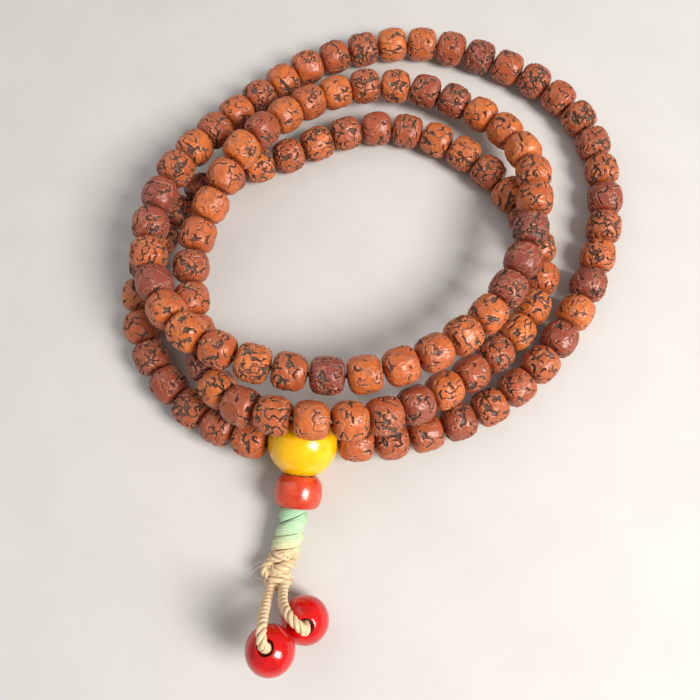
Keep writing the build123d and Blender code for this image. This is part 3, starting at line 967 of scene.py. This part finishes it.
def ball_knot(name, centre, reach, rope, body, node):
    """A small tight knot: three rings of rope that cross each other, out to reach from centre."""
    strands = Bundle()
    ring = reach - rope / 2
    for k, normal in enumerate([(0.3, 0.2, 0.9), (0.9, 0.2, -0.35), (-0.2, 0.95, 0.2)]):
        line = ring_line(centre, normal, ring, (0.4, 0.6, 0.5))
        strands.rope(line, rope, lead=2.6, sides=7, step=0.25, closed=True, phase=k)
    return strands.finish(name, cord_look, body, [node], "cord")


ball_knot("inner_tie", tuple(guru_centre / MM), 1.9, 1.9, "tail", "inner_knot")
for side, route in (("left", LEFT_CORD_ROUTE), ("right", RIGHT_CORD_ROUTE)):
    body = f"{side}_pendant"
    low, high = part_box(f"{side}_stopper_knot")
    middle = tuple((low + high) / 2 / MM)
    stopper = ball_knot(f"{side}_stopper", middle, 1.75, 1.5, body, f"{side}_stopper_knot")
    free_cord(
        f"{side}_cord", route, CORD_DIAMETER, f"{side}_pendant_cord", body, cord_look, "cord",
        lead=4.4, step=0.16, plies=3, sides=12, far_end="knot",
        with_pieces=[stopper, bpy.data.objects[f"{side}_pendant"]],
    )

# ---------------------------------------------------------------- wrapped tail, in millimetres
WRAP_START, BEND_AT = 14.5, 18.0  # from the guru's middle, along the tail
guru_mm = guru_centre / MM
TAIL_BEND = guru_mm + tail_axis * BEND_AT
TAIL_END = Vector((-21.8, -58.4, 3.5))
KNOT_AHEAD = (TAIL_END - TAIL_BEND).normalized()
KNOT_RIGHT = KNOT_AHEAD.cross(Vector((0, 0, 1))).normalized() * -1
KNOT_UP = KNOT_RIGHT.cross(KNOT_AHEAD) * -1

BANDS, THREADS = 2, 7
WRAP_LEAD = 6.8  # one turn of a band round the tail
WRAP_SHADES = (0.0, 0.72)  # from the guru's end to the knots
CORE_RADIUS = 2.0  # the cords under the bands
WRAP_RADIUS = 3.1  # outside the bands
THREAD_RADIUS = 0.40
BAND_HALF_WIDTH = 1.30  # radians round the tail
BAND_FOOT, BAND_CROWN = 1.96, 0.86  # a band's edge lies at the first, its middle higher by the second


def knot_point(right, along, up):
    """A point of the tail, in millimetres from its end: to the right, along it and above it."""
    return tuple(TAIL_END + KNOT_RIGHT * right + KNOT_AHEAD * along + KNOT_UP * up)


start = guru_mm + tail_axis * WRAP_START - KNOT_RIGHT * 0.7
bend = TAIL_BEND - KNOT_RIGHT * 0.45
core_route = [tuple(start), tuple(bend), knot_point(-0.1, -1.0, 0.0)]
core, _ = even(spline_line("tail_line", core_route), 0.12)
core_side, core_up = frames(core)
shades = np.linspace(*WRAP_SHADES, len(core))
strands = Bundle()
# painted shade: the core and the threads are measured against WRAP_RADIUS, so what lies deep between the bands is
# painted darker
strands.tube(core[::4], CORE_RADIUS, 24, shade=shades[::4], core=(core[::4], WRAP_RADIUS))
run = np.linspace(0, np.linalg.norm(np.diff(core, axis=0), axis=1).sum(), len(core))
for k in range(BANDS):
    # the sines make the bands and their threads a little uneven, as by hand
    band = 2 * math.pi * run / WRAP_LEAD + math.pi * k + 0.9 + 0.22 * np.sin(run * 0.9)
    for i in range(THREADS):
        across = (i - (THREADS - 1) / 2) / (THREADS / 2)
        turn = band + across * BAND_HALF_WIDTH + 0.10 * np.sin(run * 1.3 + 2.1 * i + k)
        reach = BAND_FOOT + BAND_CROWN * math.sqrt(1 - across**2)
        reach = reach + 0.07 * np.sin(run * 1.9 + 1.7 * i + 3 * k)
        out = np.cos(turn)[:, None] * core_side + np.sin(turn)[:, None] * core_up
        centre = core + reach[:, None] * out
        thread_shades = shades + 0.05 * math.sin(2.3 * i + k)
        strands.tube(
            centre[::2], THREAD_RADIUS + 0.04 * math.sin(3.1 * i + k), 8, shade=thread_shades[::2],
            seed=1.7 * i + 5.0 * k, core=(core[::2], WRAP_RADIUS),
        )
strands.finish("wrap", wrap_look, "tail", ["cord_wrap"], "wrap")

# the two cords under the wrap, from inside the guru, side by side
PAIR_START, PAIR_OFFSET = 1.9, 1.18
pair = Bundle()
tail_side = tail_axis.cross(Vector((0, 0, 1))).normalized()
for side in (-1, 1):
    shift = tail_side * (PAIR_OFFSET * side)
    places = (guru_mm + tail_axis * PAIR_START, TAIL_BEND, TAIL_END)
    route = [tuple(place + shift) for place in places]
    pair.rope(spline_line("pair_line", route), CORD_DIAMETER, sides=8, step=0.3)
pair.finish("tail_cords", cord_look, "tail", ["tail_cord_pair"], "cord")

# ---------------------------------------------------------------- double knot
# each turn of the knot: how far right and along its middle is, its slope, its reach to the side
# and up, and its thickness
KNOT_TURNS = [
    (-0.30, -0.75, 0.53, 1.65, 1.75, 2.5),
    (0.55, 1.65, 0.85, 1.55, 1.95, 2.4),
    (0.40, 4.35, 0.85, 1.45, 1.75, 2.3),
    (1.85, 4.75, 1.15, 0.95, 1.35, 2.2),
    (-0.55, 2.70, -0.55, 1.55, 1.25, 2.0),
]
# a strand that loops out on the left, and the loose fibres: points to the right, along and up
LEFT_LOOP = [(-1.2, 0.4, 1.0), (-2.3, 1.2, 1.1), (-2.9, 2.6, 0.7), (-2.5, 4.0, 0.7), (-1.2, 4.6, 0.7)]
LOOP_DIAMETER = 2.0
FIBRE_RADIUS = 0.045
FIBRES = [
    [(-2.6, 1.0, 0.8), (-4.2, 1.8, 0.6), (-5.6, 3.6, -0.4), (-6.2, 5.4, -1.6)],
    [(-2.7, 2.0, 0.8), (-4.6, 3.2, 0.9), (-5.2, 5.2, 0.2)],
    [(-2.2, 5.4, 0.4), (-3.8, 5.2, 0.9), (-4.6, 6.4, 0.3), (-4.2, 7.4, -0.4)],
    [(-2.2, 5.8, 0.2), (-3.3, 6.6, -0.3), (-3.2, 7.6, -1.2)],
    [(2.6, -0.6, 0.6), (3.6, -1.2, 0.9), (3.9, -2.6, 0.6)],
]
knots = Bundle()
for k, (right, along, slope, aside, above, thick) in enumerate(KNOT_TURNS):
    line = []
    for angle in np.arange(RING_STEPS + 1) * (2 * math.pi / RING_STEPS):
        out, up = math.cos(angle), math.sin(angle)
        line.append(knot_point(right + aside * out, along - slope * aside * out, 0.1 + above * up))
    knots.rope(np.array(line), thick, lead=4.8, sides=12, step=0.15, closed=True, phase=1.3 * k)
loop = spline_line("loop_line", [knot_point(*place) for place in LEFT_LOOP])
knots.rope(loop, LOOP_DIAMETER, lead=4.6, sides=12, step=0.15)
for fibre in FIBRES:
    line = spline_line("fibre_line", [knot_point(*place) for place in fibre])
    knots.tube(line[::3], FIBRE_RADIUS, 5, shade=0.9)
knots.finish("knots", cord_look, "tail", ["tail_knot"], "cord")

# ---------------------------------------------------------------- floor
FLOOR_HALF, FLOOR_Z = 2, -0.0001  # metres, a hair under the beads
corners = [(x * FLOOR_HALF, y * FLOOR_HALF, FLOOR_Z) for x, y in ((-1, -1), (1, -1), (1, 1), (-1, 1))]
floor_mesh = bpy.data.meshes.new("floor")
floor_mesh.from_pydata(corners, [], [(0, 1, 2, 3)])
floor = bpy.data.objects.new("floor", floor_mesh)
bpy.context.scene.collection.objects.link(floor)
paper = Shading("pale_paper", Roughness=0.9)
grain = paper.noise(paper.add("TexCoord").outputs["Object"], 60.0, 3.0)
paper.give("Base Color", paper.ramp(grain, [(0.3, (0.60, 0.585, 0.56)), (0.7, (0.63, 0.615, 0.59))]))
floor_mesh.materials.append(paper.material)
